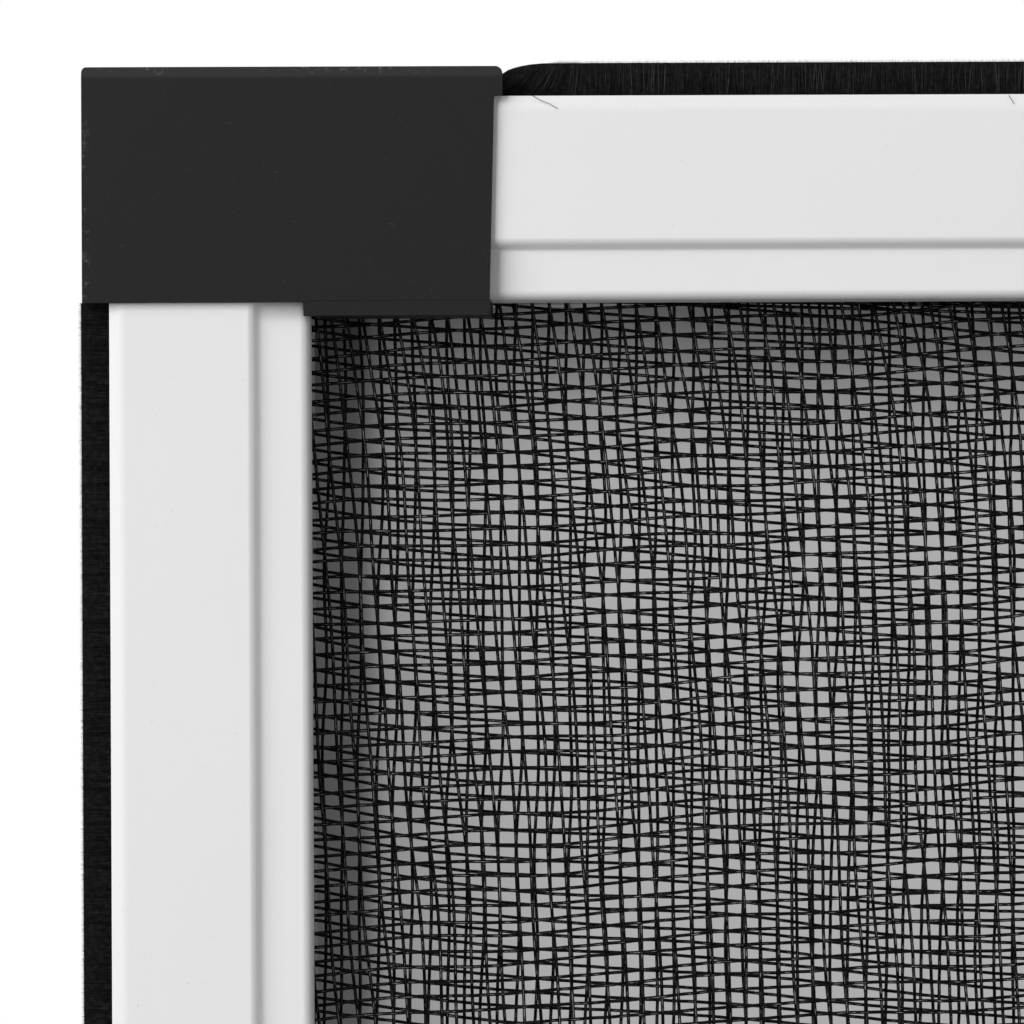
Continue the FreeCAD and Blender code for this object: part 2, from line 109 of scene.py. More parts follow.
# Edge name: where its extrusion starts in the panel, and its turn about the depth axis
EDGES = {
    "bottom_rail": ((BLOCK_WIDTH, 0, RAIL_CAP), 0),
    "outer_stile": ((SIDE_CAP, 0, PANEL_HEIGHT - BLOCK_HEIGHT), 90),
    "top_rail": ((PANEL_WIDTH - BLOCK_WIDTH, 0, PANEL_HEIGHT - RAIL_CAP), 180),
    "inner_stile": ((PANEL_WIDTH - SIDE_CAP, 0, BLOCK_HEIGHT), 270),
}


def panel_matrix(panel):
    """From panel millimetres to the model's metres. The rear panel is turned half way round."""
    low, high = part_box(f"{panel}_outer_bottom_corner")
    rail_low, rail_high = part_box(f"{panel}_bottom_rail")
    front = panel == "front"
    origin = (low[0], rail_low[1], low[2]) if front else (high[0], rail_high[1], low[2])
    turn = Matrix.Rotation(0 if front else math.pi, 4, "Z")
    return Matrix.Translation(origin) @ turn @ Matrix.Scale(MM, 4)


def edge_matrix(panel, edge):
    start, turn = EDGES[edge]
    turned = Matrix.Rotation(math.radians(turn), 4, "Y")
    return panel_matrix(panel) @ Matrix.Translation(start) @ turned


print(f"panel {PANEL_WIDTH:.1f} x {PANEL_HEIGHT:.1f} mm, rail {RAIL_WIDTH:.1f}, stile {STILE_WIDTH:.1f}")

# %% [markdown]
# ## Materials
# A colour is written as it is seen, as a hex value, and one function turns it to the linear values
# that the shader works with. Another adds a node with its settings and links. Everything here is
# neutral: white coating, black plastic, black yarn.

# %% Material helpers
NOISE = "ShaderNodeTexNoise"
RANGE = "ShaderNodeMapRange"
BUMP = "ShaderNodeBump"
MATH = "ShaderNodeMath"
MIX = "ShaderNodeMix"
ATTRIBUTE = "ShaderNodeAttribute"
# The colour sockets of a Mix node: its two inputs and its output
FIRST, SECOND, MIXED = 6, 7, 2


def linear(hex_colour):
    """An sRGB hex colour as linear RGBA."""
    channels = [int(hex_colour[i : i + 2], 16) / 255 for i in (1, 3, 5)]
    return tuple(c / 12.92 if c <= 0.04045 else ((c + 0.055) / 1.055) ** 2.4 for c in channels) + (1,)


def new_material(name, hex_colour, roughness, ior=1.5, specular=0.5):
    """A material, its nodes, its Principled shader, and the place on the object for patterns."""
    material = bpy.data.materials.new(name)
    material.use_nodes = True
    tree = material.node_tree
    shader = tree.nodes["Principled BSDF"]
    shader.inputs["Base Color"].default_value = linear(hex_colour)
    shader.inputs["Roughness"].default_value = roughness
    shader.inputs["IOR"].default_value = ior
    shader.inputs["Specular IOR Level"].default_value = specular
    return material, tree, shader, add_node(tree, "ShaderNodeTexCoord").outputs["Object"]


def feed(node, links):
    """Link each source to its socket of the node."""
    for socket, source in links:
        node.id_data.links.new(source, node.inputs[socket])


def add_node(tree, kind, links=(), values=(), **settings):
    """Add a node: settings name properties or sockets, links and values are pairs with a socket."""
    node = tree.nodes.new(kind)
    for name, value in settings.items():
        if hasattr(node, name):
            setattr(node, name, value)
        else:
            node.inputs[name.replace("_", " ")].default_value = value
    for socket, value in values:
        node.inputs[socket].default_value = value
    feed(node, links)
    return node


def between(dark, light):
    """The settings of a Mix node that goes from one hex colour to another."""
    return {"data_type": "RGBA", "values": ((FIRST, linear(dark)), (SECOND, linear(light)))}


def per_metre(size_mm):
    """The scale of a noise whose grains are this large."""
    return 1 / (size_mm * MM)


print("white coating is", [round(c, 3) for c in linear("#E8E8E8")[:3]])

# %% [markdown]
# ### Powder coated aluminium
# The extrusions are sprayed with powder and baked. The skin is smooth and satin, with a faint orange
# peel about a millimetre across, and a few tiny dust specks under the skin. The peel only bends the
# gloss, so it is a weak bump. The specks are a noise that is cut off high.

# %% Powder coating


def make_coating():
    material, tree, shader, place = new_material("powder_coated_aluminium", "#E3E3E3", 0.42)
    peel = add_node(tree, NOISE, [("Vector", place)], Scale=per_metre(0.9), Detail=2.0)
    specks = add_node(tree, NOISE, [("Vector", place)], Scale=per_metre(0.35), Detail=1.0)
    cloud = add_node(tree, NOISE, [("Vector", place)], Scale=per_metre(14), Detail=2.0)
    bump = add_node(tree, BUMP, [("Height", peel.outputs["Fac"])], Strength=0.08, Distance=0.02 * MM)
    rare = add_node(tree, RANGE, [("Value", specks.outputs["Fac"])], From_Min=0.77, From_Max=0.84)
    tone = add_node(tree, MIX, [("Factor", cloud.outputs["Fac"])], **between("#E1E1E1", "#E4E4E4"))
    speckled = add_node(
        tree,
        MIX,
        [("Factor", rare.outputs["Result"]), (FIRST, tone.outputs[MIXED])],
        [(SECOND, linear("#CCCCCC"))],
        data_type="RGBA",
    )
    feed(shader, [("Base Color", speckled.outputs[MIXED]), ("Normal", bump.outputs["Normal"])])
    return material


coating = make_coating()
print(coating.name, len(coating.node_tree.nodes), "nodes")

# %% [markdown]
# ### Moulded black plastic
# The corner pieces are injection moulded from a matt black plastic. The tool was spark eroded, which
# leaves a fine even grain. Handling leaves grey dust and short scuffs, most of them along the edges,
# and the chamfer along the outer edge is painted a little lighter, as a painted highlight.

# %% Corner plastic


def make_plastic():
    material, tree, shader, place = new_material("moulded_corner_plastic", "#1A1A1A", 0.5, 1.5, 0.13)
    grain = add_node(tree, NOISE, [("Vector", place)], Scale=per_metre(0.12), Detail=2.0)
    bump = add_node(tree, BUMP, [("Height", grain.outputs["Fac"])], Strength=0.05, Distance=0.01 * MM)

    # Dust, scuffs and the patches that hands touch: size in millimetres, detail, and where each is cut
    masks = []
    for size, detail, low, high in (
        (0.3, 3.0, 0.7, 0.95),
        (0.5, 4.0, 0.54, 0.78),
        (5, 1.0, 0.45, 0.6),
    ):
        noise = add_node(tree, NOISE, [("Vector", place)], Scale=per_metre(size), Detail=detail)
        mask = add_node(tree, RANGE, [("Value", noise.outputs["Fac"])], From_Min=low, From_Max=high)
        masks.append(mask.outputs["Result"])
    dust, scuffs_and_sheen_patches, handled = masks

    local = add_node(tree, ATTRIBUTE, attribute_name="place_on_piece")
    split = add_node(tree, "ShaderNodeSeparateXYZ", [("Vector", local.outputs["Vector"])])
    across, up = split.outputs["X"], split.outputs["Z"]
    inward = add_node(tree, MATH, [(0, across), (1, up)], operation="MINIMUM")
    worn = add_node(tree, RANGE, [("Value", inward.outputs["Value"])], From_Min=0.9, From_Max=0.4)
    # A painted highlight: the chamfer beside the outer edge is painted lighter
    painted_sheen = add_node(tree, RANGE, [("Value", up)], From_Min=1.2, From_Max=0.75, To_Max=0.09)

    # Scuffs lie where hands touch the edges, dust lies all over, and the chamfer gets a painted
    # highlight
    wear_and_sheen = scuffs_and_sheen_patches
    for operation, other in (
        ("MULTIPLY", handled),
        ("MULTIPLY", worn.outputs["Result"]),
        ("MAXIMUM", dust),
        ("ADD", painted_sheen.outputs["Result"]),
    ):
        wear_and_sheen = add_node(tree, MATH, [(0, other), (1, wear_and_sheen)], operation=operation).outputs["Value"]
    tone = add_node(tree, MIX, [("Factor", wear_and_sheen)], **between("#1B1B1B", "#585858"))
    feed(shader, [("Base Color", tone.outputs[MIXED]), ("Normal", bump.outputs["Normal"])])
    return material


plastic = make_plastic()
print(plastic.name, len(plastic.node_tree.nodes), "nodes")

# %% [markdown]
# ### Yarn, pile and spline
# The mesh is glass fibre yarn in a black vinyl coat, which is smooth, and in patches a light line is
# painted along the crest as a painted highlight. The pile is black nylon or polypropylene, dark at the
# root and painted greyer at the tips, where light gets in. The spline is plain grey rubber.

# %% Yarn, pile and spline


def make_yarn():
    material, tree, shader, place = new_material("vinyl_coated_yarn", "#030303", 0.25, 1.52, 0.08)
    lumps = add_node(tree, NOISE, [("Vector", place)], Scale=per_metre(0.25), Detail=2.0).outputs["Fac"]
    bump = add_node(tree, BUMP, [("Height", lumps)], Strength=0.4, Distance=0.03 * MM)
    gloss = add_node(tree, RANGE, [("Value", lumps)], To_Min=0.14, To_Max=0.34)
    # Painted highlight: a light line along each yarn's crest, shown in patches
    scuffs_and_sheen_patches = add_node(tree, NOISE, [("Vector", place)], Scale=per_metre(0.9), Detail=3.0)
    sheen_patches = add_node(tree, RANGE, [("Value", scuffs_and_sheen_patches.outputs["Fac"])], From_Min=0.52, From_Max=0.7)
    crest = add_node(tree, ATTRIBUTE, attribute_name="crest")
    line = add_node(tree, RANGE, [("Value", crest.outputs["Fac"])], From_Min=0.7, From_Max=0.95)
    both = [(0, line.outputs["Result"]), (1, sheen_patches.outputs["Result"])]
    painted_sheen = add_node(tree, MATH, both, operation="MULTIPLY")
    tone = add_node(tree, MIX, [("Factor", painted_sheen.outputs["Value"])], **between("#030303", "#959595"))
    feed(shader, [("Base Color", tone.outputs[MIXED]), ("Roughness", gloss.outputs["Result"])])
    feed(shader, [("Normal", bump.outputs["Normal"])])
    return material


def make_pile():
    material, tree, shader, place = new_material("black_pile", "#0A0A0A", 0.7, 1.5, 0.075)
    tip = add_node(tree, ATTRIBUTE, attribute_name="tip")
    felt = add_node(tree, NOISE, [("Vector", place)], Scale=per_metre(0.45), Detail=5.0).outputs["Fac"]
    loose = add_node(tree, RANGE, [("Value", felt)], From_Min=0.45, From_Max=0.8, To_Max=0.15)
    both = [(0, tip.outputs["Fac"]), (1, loose.outputs["Result"])]
    light = add_node(tree, MATH, both, operation="ADD")
    tone = add_node(tree, MIX, [("Factor", light.outputs["Value"])], **between("#060606", "#565656"))
    feed(shader, [("Base Color", tone.outputs[MIXED])])
    return material


def make_rubber():
    material, tree, shader, place = new_material("spline_rubber", "#6E6E6E", 0.6, 1.5, 0.3)
    bloom = add_node(tree, NOISE, [("Vector", place)], Scale=per_metre(1.2), Detail=3.0)
    tone = add_node(tree, MIX, [("Factor", bloom.outputs["Fac"])], **between("#686868", "#747474"))
    feed(shader, [("Base Color", tone.outputs[MIXED])])
    return material


yarn, pile, rubber = make_yarn(), make_pile(), make_rubber()
print(yarn.name, pile.name, rubber.name)

# %% [markdown]
# ## Modelling helpers
# A profile or a moulding can be drawn as boxes that are joined and cut, the way a maker thinks of it:
# a bar, a slot milled here, a hollow there. Boolean modifiers do that. Then chosen edges are bevelled,
# because nothing real has a knife edge, and the rounding is what catches the light.

# %% Boxes and editing


def activate(piece):
    bpy.ops.object.select_all(action="DESELECT")
    piece.select_set(True)
    bpy.context.view_layer.objects.active = piece


def start_editing(piece):
    """Edit mode, with the whole piece selected."""
    activate(piece)
    bpy.ops.object.mode_set(mode="EDIT")
    bpy.ops.mesh.select_all(action="SELECT")


def stop_editing():
    bpy.ops.object.mode_set(mode="OBJECT")


def add_object(name, data):
    added = bpy.data.objects.new(name, data)
    bpy.context.collection.objects.link(added)
    return added


def add_mesh(name, points, faces):
    """A new piece from arrays of its points and faces."""
    mesh = bpy.data.meshes.new(name)
    mesh.from_pydata(points.tolist(), [], faces.tolist())
    mesh.update()
    return add_object(name, mesh)


def add_box(name, low, high):
    """A box between two corners, its place in its mesh."""
    low, high = Vector(low), Vector(high)
    bpy.ops.object.select_all(action="DESELECT")
    bpy.ops.mesh.primitive_cube_add(size=1, location=(low + high) / 2)
    box = bpy.context.object
    box.name = box.data.name = name
    box.scale = high - low
    bpy.ops.object.transform_apply(location=True, rotation=True, scale=True)
    return box


def combine(piece, operation, boxes):
    """Join boxes to the piece or cut them from it: each is a pair of corners."""
    for low, high in boxes:
        tool = add_box("tool", low, high)
        activate(piece)
        boolean = piece.modifiers.new("boolean", "BOOLEAN")
        boolean.operation, boolean.object, boolean.solver = operation, tool, "EXACT"
        bpy.ops.object.modifier_apply(modifier=boolean.name)
        bpy.data.objects.remove(tool)


print("boxes can be joined and cut")

# %% Edges


def clean_flats(piece):
    """One face for each flat side, so that bevels run through."""
    start_editing(piece)
    bpy.ops.mesh.remove_doubles(threshold=0.001)
    bpy.ops.mesh.dissolve_limited(angle_limit=math.radians(0.5))
    stop_editing()


def cut_chamfer(piece, face_y, wide, deep):
    """Cut the long edge at z = 0 of the visible face: so wide over the face, so deep into it."""
    start_editing(piece)
    across = {"plane_co": (0, face_y, wide), "plane_no": (0, -wide, -deep)}
    bpy.ops.mesh.bisect(**across, use_fill=True, clear_outer=True)
    stop_editing()


def round_edges(piece, radius, segments, wanted):
    """Bevel the edges that the test picks by their middle and direction."""
    activate(piece)
    bpy.ops.object.mode_set(mode="EDIT")
    bpy.ops.mesh.select_mode(type="EDGE")
    bpy.ops.mesh.select_all(action="DESELECT")
    stop_editing()
    chosen = 0
    for edge in piece.data.edges:
        start, end = (piece.data.vertices[i].co for i in edge.vertices)
        edge.select = bool(wanted((start + end) / 2, (end - start).normalized()))
        chosen += edge.select
    bpy.ops.object.mode_set(mode="EDIT")
    bpy.ops.mesh.bevel(offset=radius, segments=segments, profile=0.5, clamp_overlap=True)
    stop_editing()
    return chosen


print("edges can be cut and rounded")

# %% Shading and settling
SMOOTH_BELOW = 35


def finish_shading(piece):
    """Smooth roundings beside flats that stay flat."""
    activate(piece)
    bpy.ops.object.shade_smooth_by_angle(angle=math.radians(SMOOTH_BELOW))
    weighted = piece.modifiers.new("weighted", "WEIGHTED_NORMAL")
    weighted.keep_sharp = True
    bpy.ops.object.modifier_apply(modifier=weighted.name)


def copy_piece(piece, name):
    mesh = piece.data.copy()
    mesh.name = name
    return add_object(name, mesh)


def settle(piece, matrix, material, panel, node):
    """Put a drawn piece into the model: give it its material, hang it on its panel, and hide the node it
    stands for.
    """
    piece.data.transform(matrix)
    if matrix.determinant() < 0:
        piece.data.flip_normals()
    piece.data.materials.clear()
    piece.data.materials.append(material)
    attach(piece, f"{panel}_panel")
    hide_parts(node)


print("pieces can be shaded and settled")

# %% [markdown]
# ## The extrusions
# One section serves all four edges: a raised band with a closed chamber behind it, and a lower flange
# that ends in a round edge towards the mesh. The outer edge has a slot for the brush, the back has a
# channel for the guides and a groove for the spline. The bar is drawn once for the rails and once for
# the stiles, and copied to its places.

# %% Section sizes
FLANGE = 5.2
STEP = 0.9
STEP_SLOPE = 0.58
EDGE_FALL = (1.2, 0.21)
MESH_SETBACK = 1.4
GROOVE_WALL = 1.2
GROOVE = 3.0
GROOVE_DEPTH = 3.4
LIP = 0.9
BRUSH_MOUTH = 3.2
BRUSH_CAVITY = 5.2
BRUSH_CAVITY_DEPTH = 1.5
CHANNEL_CENTRE = 7.9
CHANNEL_MOUTH = 3.4
CHANNEL_CAVITY = 6.4
CHANNEL_DEPTH = 1.7
CHAMBER = ((1.1, 3.5), (4.3, 12.3))
OVERSHOOT = 1.0
PARALLEL = 0.99
MESH_PLANE = DEPTH - MESH_SETBACK
print(f"band {RAIL_WIDTH - FLANGE:.1f} mm, flange {FLANGE} mm, groove wall at {MESH_PLANE:.1f} mm")

# %% Extrusions


def span(middle, width):
    return middle - width / 2, middle + width / 2


def make_bar(name, run, width):
    """The extrusion along x, its outer edge at z = 0 and its visible face at y = 0."""
    bar = add_box(name, (0, 0, 0), (run, DEPTH, width))
    band = width - FLANGE
    groove_end = width - GROOVE_WALL
    groove_start = groove_end - GROOVE

    def along(low_y, high_y, low_z, high_z):
        return (-OVERSHOOT, low_y, low_z), (run + OVERSHOOT, high_y, high_z)

    combine(
        bar,
        "DIFFERENCE",
        [
            along(-OVERSHOOT, STEP, band + STEP_SLOPE / 2, width + OVERSHOOT),
            along(MESH_PLANE, DEPTH + OVERSHOOT, groove_end, width + OVERSHOOT),
            along(MESH_PLANE - GROOVE_DEPTH, DEPTH + OVERSHOOT, groove_start, groove_end),
            along(*span(DEPTH / 2, BRUSH_MOUTH), -OVERSHOOT, LIP),
            along(*span(DEPTH / 2, BRUSH_CAVITY), LIP, LIP + BRUSH_CAVITY_DEPTH),
            along(DEPTH - LIP, DEPTH + OVERSHOOT, *span(CHANNEL_CENTRE, CHANNEL_MOUTH)),
            along(DEPTH - LIP - CHANNEL_DEPTH, DEPTH - LIP, *span(CHANNEL_CENTRE, CHANNEL_CAVITY)),
            along(CHAMBER[0][0], CHAMBER[1][0], CHAMBER[0][1], CHAMBER[1][1]),
        ],
    )
    clean_flats(bar)
    for level, shift in ((0, -STEP_SLOPE / 2), (STEP, STEP_SLOPE / 2)):
        for vertex in bar.data.vertices:
            y, z = vertex.co.y, vertex.co.z
            if abs(y - level) < NEAR and abs(z - band - STEP_SLOPE / 2) < NEAR:
                vertex.co.z += shift

    wide, deep = EDGE_FALL
    cut_chamfer(bar, 0, wide, deep)

    def at(middle, direction, y, z):
        return abs(direction.x) > PARALLEL and abs(middle.y - y) < NEAR and abs(middle.z - z) < NEAR

    # Radius, segments, and the depth and height of the edges
    roundings = [
        (0.3, 5, [(0, wide), (deep, 0)]),
        (0.9, 12, [(STEP, width)]),
        (0.45, 6, [(0, band)]),
        (0.15, 3, [(STEP, band + STEP_SLOPE)]),
        (0.3, 3, [(DEPTH, 0), (MESH_PLANE, width), (DEPTH, groove_start)]),
    ]
    for radius, segments, places in roundings:
        found = round_edges(
            bar, radius, segments, lambda m, d, p=places: any(at(m, d, y, z) for y, z in p)
        )
        print(f"{name}: {found} edges rounded by {radius} mm")
    finish_shading(bar)
    return bar


rail_bar = make_bar("rail_bar", RAIL_RUN, RAIL_WIDTH)
stile_bar = make_bar("stile_bar", STILE_RUN, STILE_WIDTH)
for panel in PANELS:
    for edge in EDGES:
        source = rail_bar if edge.endswith("rail") else stile_bar
        bar = copy_piece(source, f"{panel}_{edge}_extrusion")
        place = edge_matrix(panel, edge)
        settle(bar, place, coating, panel, f"{panel}_{edge}")
for bar in (rail_bar, stile_bar):
    bpy.data.objects.remove(bar)
print("extrusions placed:", len(PANELS) * len(EDGES))

# %% [markdown]
# ## The corner pieces
# A moulded block fills each corner. Its plate reaches over the rail and stands proud of it, a cap
# closes the outer edge beside the pile, and a lip runs along the rail's mesh edge. The inner ones
# have no lip, but carry the guide that runs in the other panel's channel. Each is drawn as the one at
# the outer end of the bottom edge, and mirrored into its place.

# %% Corner sizes
ARM_REACH = 16.8
ARM_END = BLOCK_WIDTH + ARM_REACH
CAP_REACH = 0.9
LIP_HEIGHT = 1.4
LIP_SETBACK = 0.06
LIP_START = 0.4
LIP_OVER_STILE = 0.5
RUNNING = 0.3
FIT = 0.1
TENON = 26
CORE_WALL = 1.6
CORE_DEPTH = 3.6
CORE_SPANS = (13, 14)
END_SLANT = 0.55
SLANT_PIVOT = 0.36
PLATE_OVER_STILE = 0.17
CHAMFER = (0.95, 0.45)
EDGE_ROUNDING = 0.14
OUTER_ROUNDING = 0.45
CAP_ROUNDING = 0.7
PANEL_GAP = -2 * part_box("front_bottom_rail")[1][1] / MM
FAR_HEAD_START = BLOCK_WIDTH + RUNNING
GUIDE_END = 36
print(f"block {BLOCK_WIDTH:.1f} x {BLOCK_HEIGHT:.1f} mm, plate {PLATE:.1f} mm proud of the rail")

# %% Corner pieces


def make_corner(name, with_guide):
    """A corner piece of boxes: block, stepped plate, cap, lip, tenons and, inside, a guide."""
    mesh_clear = MESH_PLANE - RUNNING
    block = add_box(name, (0, -PLATE, 0), (BLOCK_WIDTH, DEPTH, BLOCK_HEIGHT))
    band_end = BLOCK_HEIGHT - FLANGE + STEP_SLOPE
    inner, top = BLOCK_WIDTH - FIT, BLOCK_HEIGHT - FIT
    parts = [
        ((inner, -PLATE, 0), (ARM_END, 0, BLOCK_HEIGHT)),
        ((inner, -PLATE, band_end), (ARM_END, STEP, BLOCK_HEIGHT)),
        ((inner, -PLATE, 0), (ARM_END + CAP_REACH, DEPTH, RAIL_CAP)),
        ((0, -PLATE, top), (BLOCK_WIDTH, 0, BLOCK_HEIGHT + PLATE_OVER_STILE)),
    ]
    if not with_guide:
        # The lip, and its end that reaches a little over the stile's flange
        front, lip_top = LIP_SETBACK - PLATE, BLOCK_HEIGHT + LIP_HEIGHT
        parts += [
            ((BLOCK_WIDTH + LIP_START, front, top), (ARM_END, mesh_clear, lip_top)),
            (
                (BLOCK_WIDTH - LIP_OVER_STILE, front, top),
                (BLOCK_WIDTH + 2 * LIP_START, STEP - FIT, lip_top),
            ),
        ]
    (front, start), (back, end) = CHAMBER
    low, high = (front + FIT, start + FIT), (back - FIT, end - FIT)
    parts += [
        ((inner, low[0], RAIL_CAP + low[1]), (BLOCK_WIDTH + TENON, high[0], RAIL_CAP + high[1])),
        ((SIDE_CAP + low[1], low[0], top), (SIDE_CAP + high[1], high[0], BLOCK_HEIGHT + TENON)),
    ]
    if with_guide:
        centre = RAIL_CAP + CHANNEL_CENTRE
        far = DEPTH + PANEL_GAP + LIP + RUNNING
        own, neck = CHANNEL_CAVITY / 2 - FIT, CHANNEL_MOUTH / 2 - RUNNING
        head = CHANNEL_CAVITY / 2 - RUNNING
        own_front = DEPTH - LIP - CHANNEL_DEPTH + FIT
        for start, y0, y1, half in (
            (inner, own_front, DEPTH - LIP - FIT, own),
            (FAR_HEAD_START, own_front, far + FIT, neck),
            (FAR_HEAD_START, far, far + CHANNEL_DEPTH - 2 * RUNNING, head),
        ):
            parts.append(((start, y0, centre - half), (GUIDE_END, y1, centre + half)))
    combine(block, "UNION", parts)
    groove = GROOVE_WALL + GROOVE
    hollows = [
        (
            (BLOCK_WIDTH - groove, mesh_clear, BLOCK_HEIGHT - groove),
            (BLOCK_WIDTH + NEAR, DEPTH + OVERSHOOT, BLOCK_HEIGHT + NEAR),
        )
    ]
    hollow_x, hollow_z = ((width - CORE_WALL) / 2 for width in CORE_SPANS)
    for column in range(2):
        for line in range(2):
            x = CORE_WALL + column * (hollow_x + CORE_WALL)
            z = CORE_WALL + line * (hollow_z + CORE_WALL)
            back = DEPTH + OVERSHOOT
            hollows.append(((x, DEPTH - CORE_DEPTH, z), (x + hollow_x, back, z + hollow_z)))
    combine(block, "DIFFERENCE", hollows)
    clean_flats(block)

    # The plate's end isn't cut quite square
    for vertex in block.data.vertices:
        if abs(vertex.co.x - ARM_END) < NEAR and vertex.co.y < STEP + NEAR:
            vertex.co.x += END_SLANT * (SLANT_PIVOT - vertex.co.z / BLOCK_HEIGHT)

    wide, deep = CHAMFER
    cut_chamfer(block, -PLATE, wide, deep)

    def is_front(middle, direction):
        """An edge round the front, but not the corner between the plate and the lip."""
        inside = abs(middle.z - BLOCK_HEIGHT) < 2 * NEAR
        return middle.y < deep - PLATE + NEAR and abs(direction.y) < 0.5 and not inside

    def is_end(x):
        """A test for the edge that runs into the depth at this end of the outer side."""
        return lambda middle, direction: abs(middle.x - x) < NEAR and abs(middle.z) < NEAR

    count = round_edges(block, OUTER_ROUNDING, 6, is_end(0))
    count += round_edges(block, CAP_ROUNDING, 6, is_end(ARM_END + CAP_REACH))
    count += round_edges(block, EDGE_ROUNDING, 4, is_front)
    print(f"{name}: {count} edges rounded")
    place = block.data.attributes.new("place_on_piece", "FLOAT_VECTOR", "POINT")
    for vertex in block.data.vertices:
        place.data[vertex.index].vector = vertex.co
    return block


def corner_matrix(panel, end, level):
    """Mirror the drawn corner to one of the four corners of a panel."""
    across = Matrix.Scale(-1, 4, (1, 0, 0)) if end == "inner" else Matrix.Identity(4)
    up = Matrix.Scale(-1, 4, (0, 0, 1)) if level == "top" else Matrix.Identity(4)
    place = (PANEL_WIDTH if end == "inner" else 0, 0, PANEL_HEIGHT if level == "top" else 0)
    return panel_matrix(panel) @ Matrix.Translation(place) @ across @ up


for end in ("outer", "inner"):
    drawn = make_corner(f"{end}_corner", with_guide=end == "inner")
    for panel in PANELS:
        for level in ("top", "bottom"):
            node = f"{panel}_{end}_{level}_corner"
            piece = copy_piece(drawn, f"{node}_piece")
            matrix = corner_matrix(panel, end, level)
            settle(piece, matrix, plastic, panel, node)
            # Shaded after it is mirrored, because a mirror would turn its normals
            finish_shading(piece)
    bpy.data.objects.remove(drawn)
print("corner pieces placed")

# %% [markdown]
# ## The mesh
# Insect mesh is a plain weave: each yarn goes over one crossing yarn and under the next, about 18 by
# 16 to the inch. A texture would give flat lines, so each yarn is a thin tube that follows the weave.
# The yarns are never quite straight, and each mesh was rolled in a little askew, which gives the
# wandering pattern where one mesh lies behind the other. Near the corner that the picture shows each
# crossing is modelled. Further off the yarns run straight and have few points. At the edges each yarn
# bends down into the groove, where the spline holds it.

# %% Mesh places
YARN_WIDTH = 0.31
YARN_DEPTH = 0.48
WAVE = 0.12
FINE_STEP = 1 / 3
COARSE_EVERY = 120
FINE_REACH = 73
BEHIND_WALL = 0.3
MESH_MIDDLE = MESH_PLANE + BEHIND_WALL
DRAG_REACH = 11
FULL_TURN = 2 * math.pi
# How the sheet wanders: the length and the drift of each wave in millimetres
SHEET_WAVES = ((13, 0.06), (21, 0.1), (34, 0.15), (60, 0.2))

# The corner of the opening that the picture shows, which both meshes are laid out from
picture_corner = Vector((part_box("front_outer_stile")[1][0], 0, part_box("front_top_rail")[0][2]))


class Weave:
    """Places on a woven sheet, as millimetres right of and below the picture's corner."""

    def __init__(self, seed, pitches, first, lean, slope, drag):
        self.drag = drag
        self.random = np.random.default_rng(seed)
        self.column = pitches[0] * np.array([math.cos(slope), math.sin(slope)])
        self.row = pitches[1] * np.array([math.sin(lean), math.cos(lean)])
        self.first = np.array(first)
        self.waves = []
        for length, drift in SHEET_WAVES:
            turn = self.random.uniform(0, FULL_TURN)
            direction = FULL_TURN / length * np.array([math.cos(turn), math.sin(turn)])
            self.waves.append((direction, self.random.uniform(0, FULL_TURN, 2), drift))

    def at(self, s, t):
        flat = self.first + np.outer(s, self.column) + np.outer(t, self.row)
        moved = flat.copy()
        for direction, phases, drift in self.waves:
            angle = flat @ direction
            moved[:, 0] += drift * np.sin(angle + phases[0])
            moved[:, 1] += drift * np.sin(angle + phases[1])
        # The roller that pressed the spline in dragged the strands along beside the frame
        near = np.exp(-np.clip(flat, 0, None) / DRAG_REACH)
        moved[:, 1] -= self.drag[0] * near[:, 0]
        moved[:, 0] -= self.drag[1] * near[:, 1]
        return moved


def tube_arrays(path, side, depth):
    """Vertices and faces of a four sided tube along a path, closed at both ends."""
    count = len(path)
    ring = np.stack([path + side, path + depth, path - side, path - depth], axis=1)
    first = np.arange(count - 1)[:, None] * 4
    corner = np.arange(4)[None, :]
    after = (corner + 1) % 4
    faces = np.stack([first + corner, first + after, first + 4 + after, first + 4 + corner], axis=2)
    last = (count - 1) * 4
    ends = np.array([[3, 2, 1, 0], [last, last + 1, last + 2, last + 3]])
    return ring.reshape(-1, 3), np.concatenate([faces.reshape(-1, 4), ends])


print("the meshes are laid out from", [round(v, 4) for v in picture_corner])

# %% Mesh yarns
HEM = 2.4
HEM_SPREAD = 0.35
# Yarns are counted, and sampled along their length, from well before the sheet to well past it
YARNS_PAST = 60
SAMPLES = (-700, 1900)
FEWEST_SAMPLES = 8
YARN_SPREAD = 0.06
# How one yarn wanders: the length of each wave in crossings, and its drift in millimetres
YARN_WAVES = ((5, 0.07), (2.3, 0.06))
# Panel: seed, pitches, first crossing, lean of the upright yarns, slope of the level ones, and drag
WEAVES = {
    "front": (3, (1.587, 1.388), (1.43, 0.63), 3.2, -2.9, (-0.2, 1.5)),
    "rear": (8, (1.647, 1.384), (1.3, 0.35), -0.6, 4.6, (1.05, 0.4)),
}


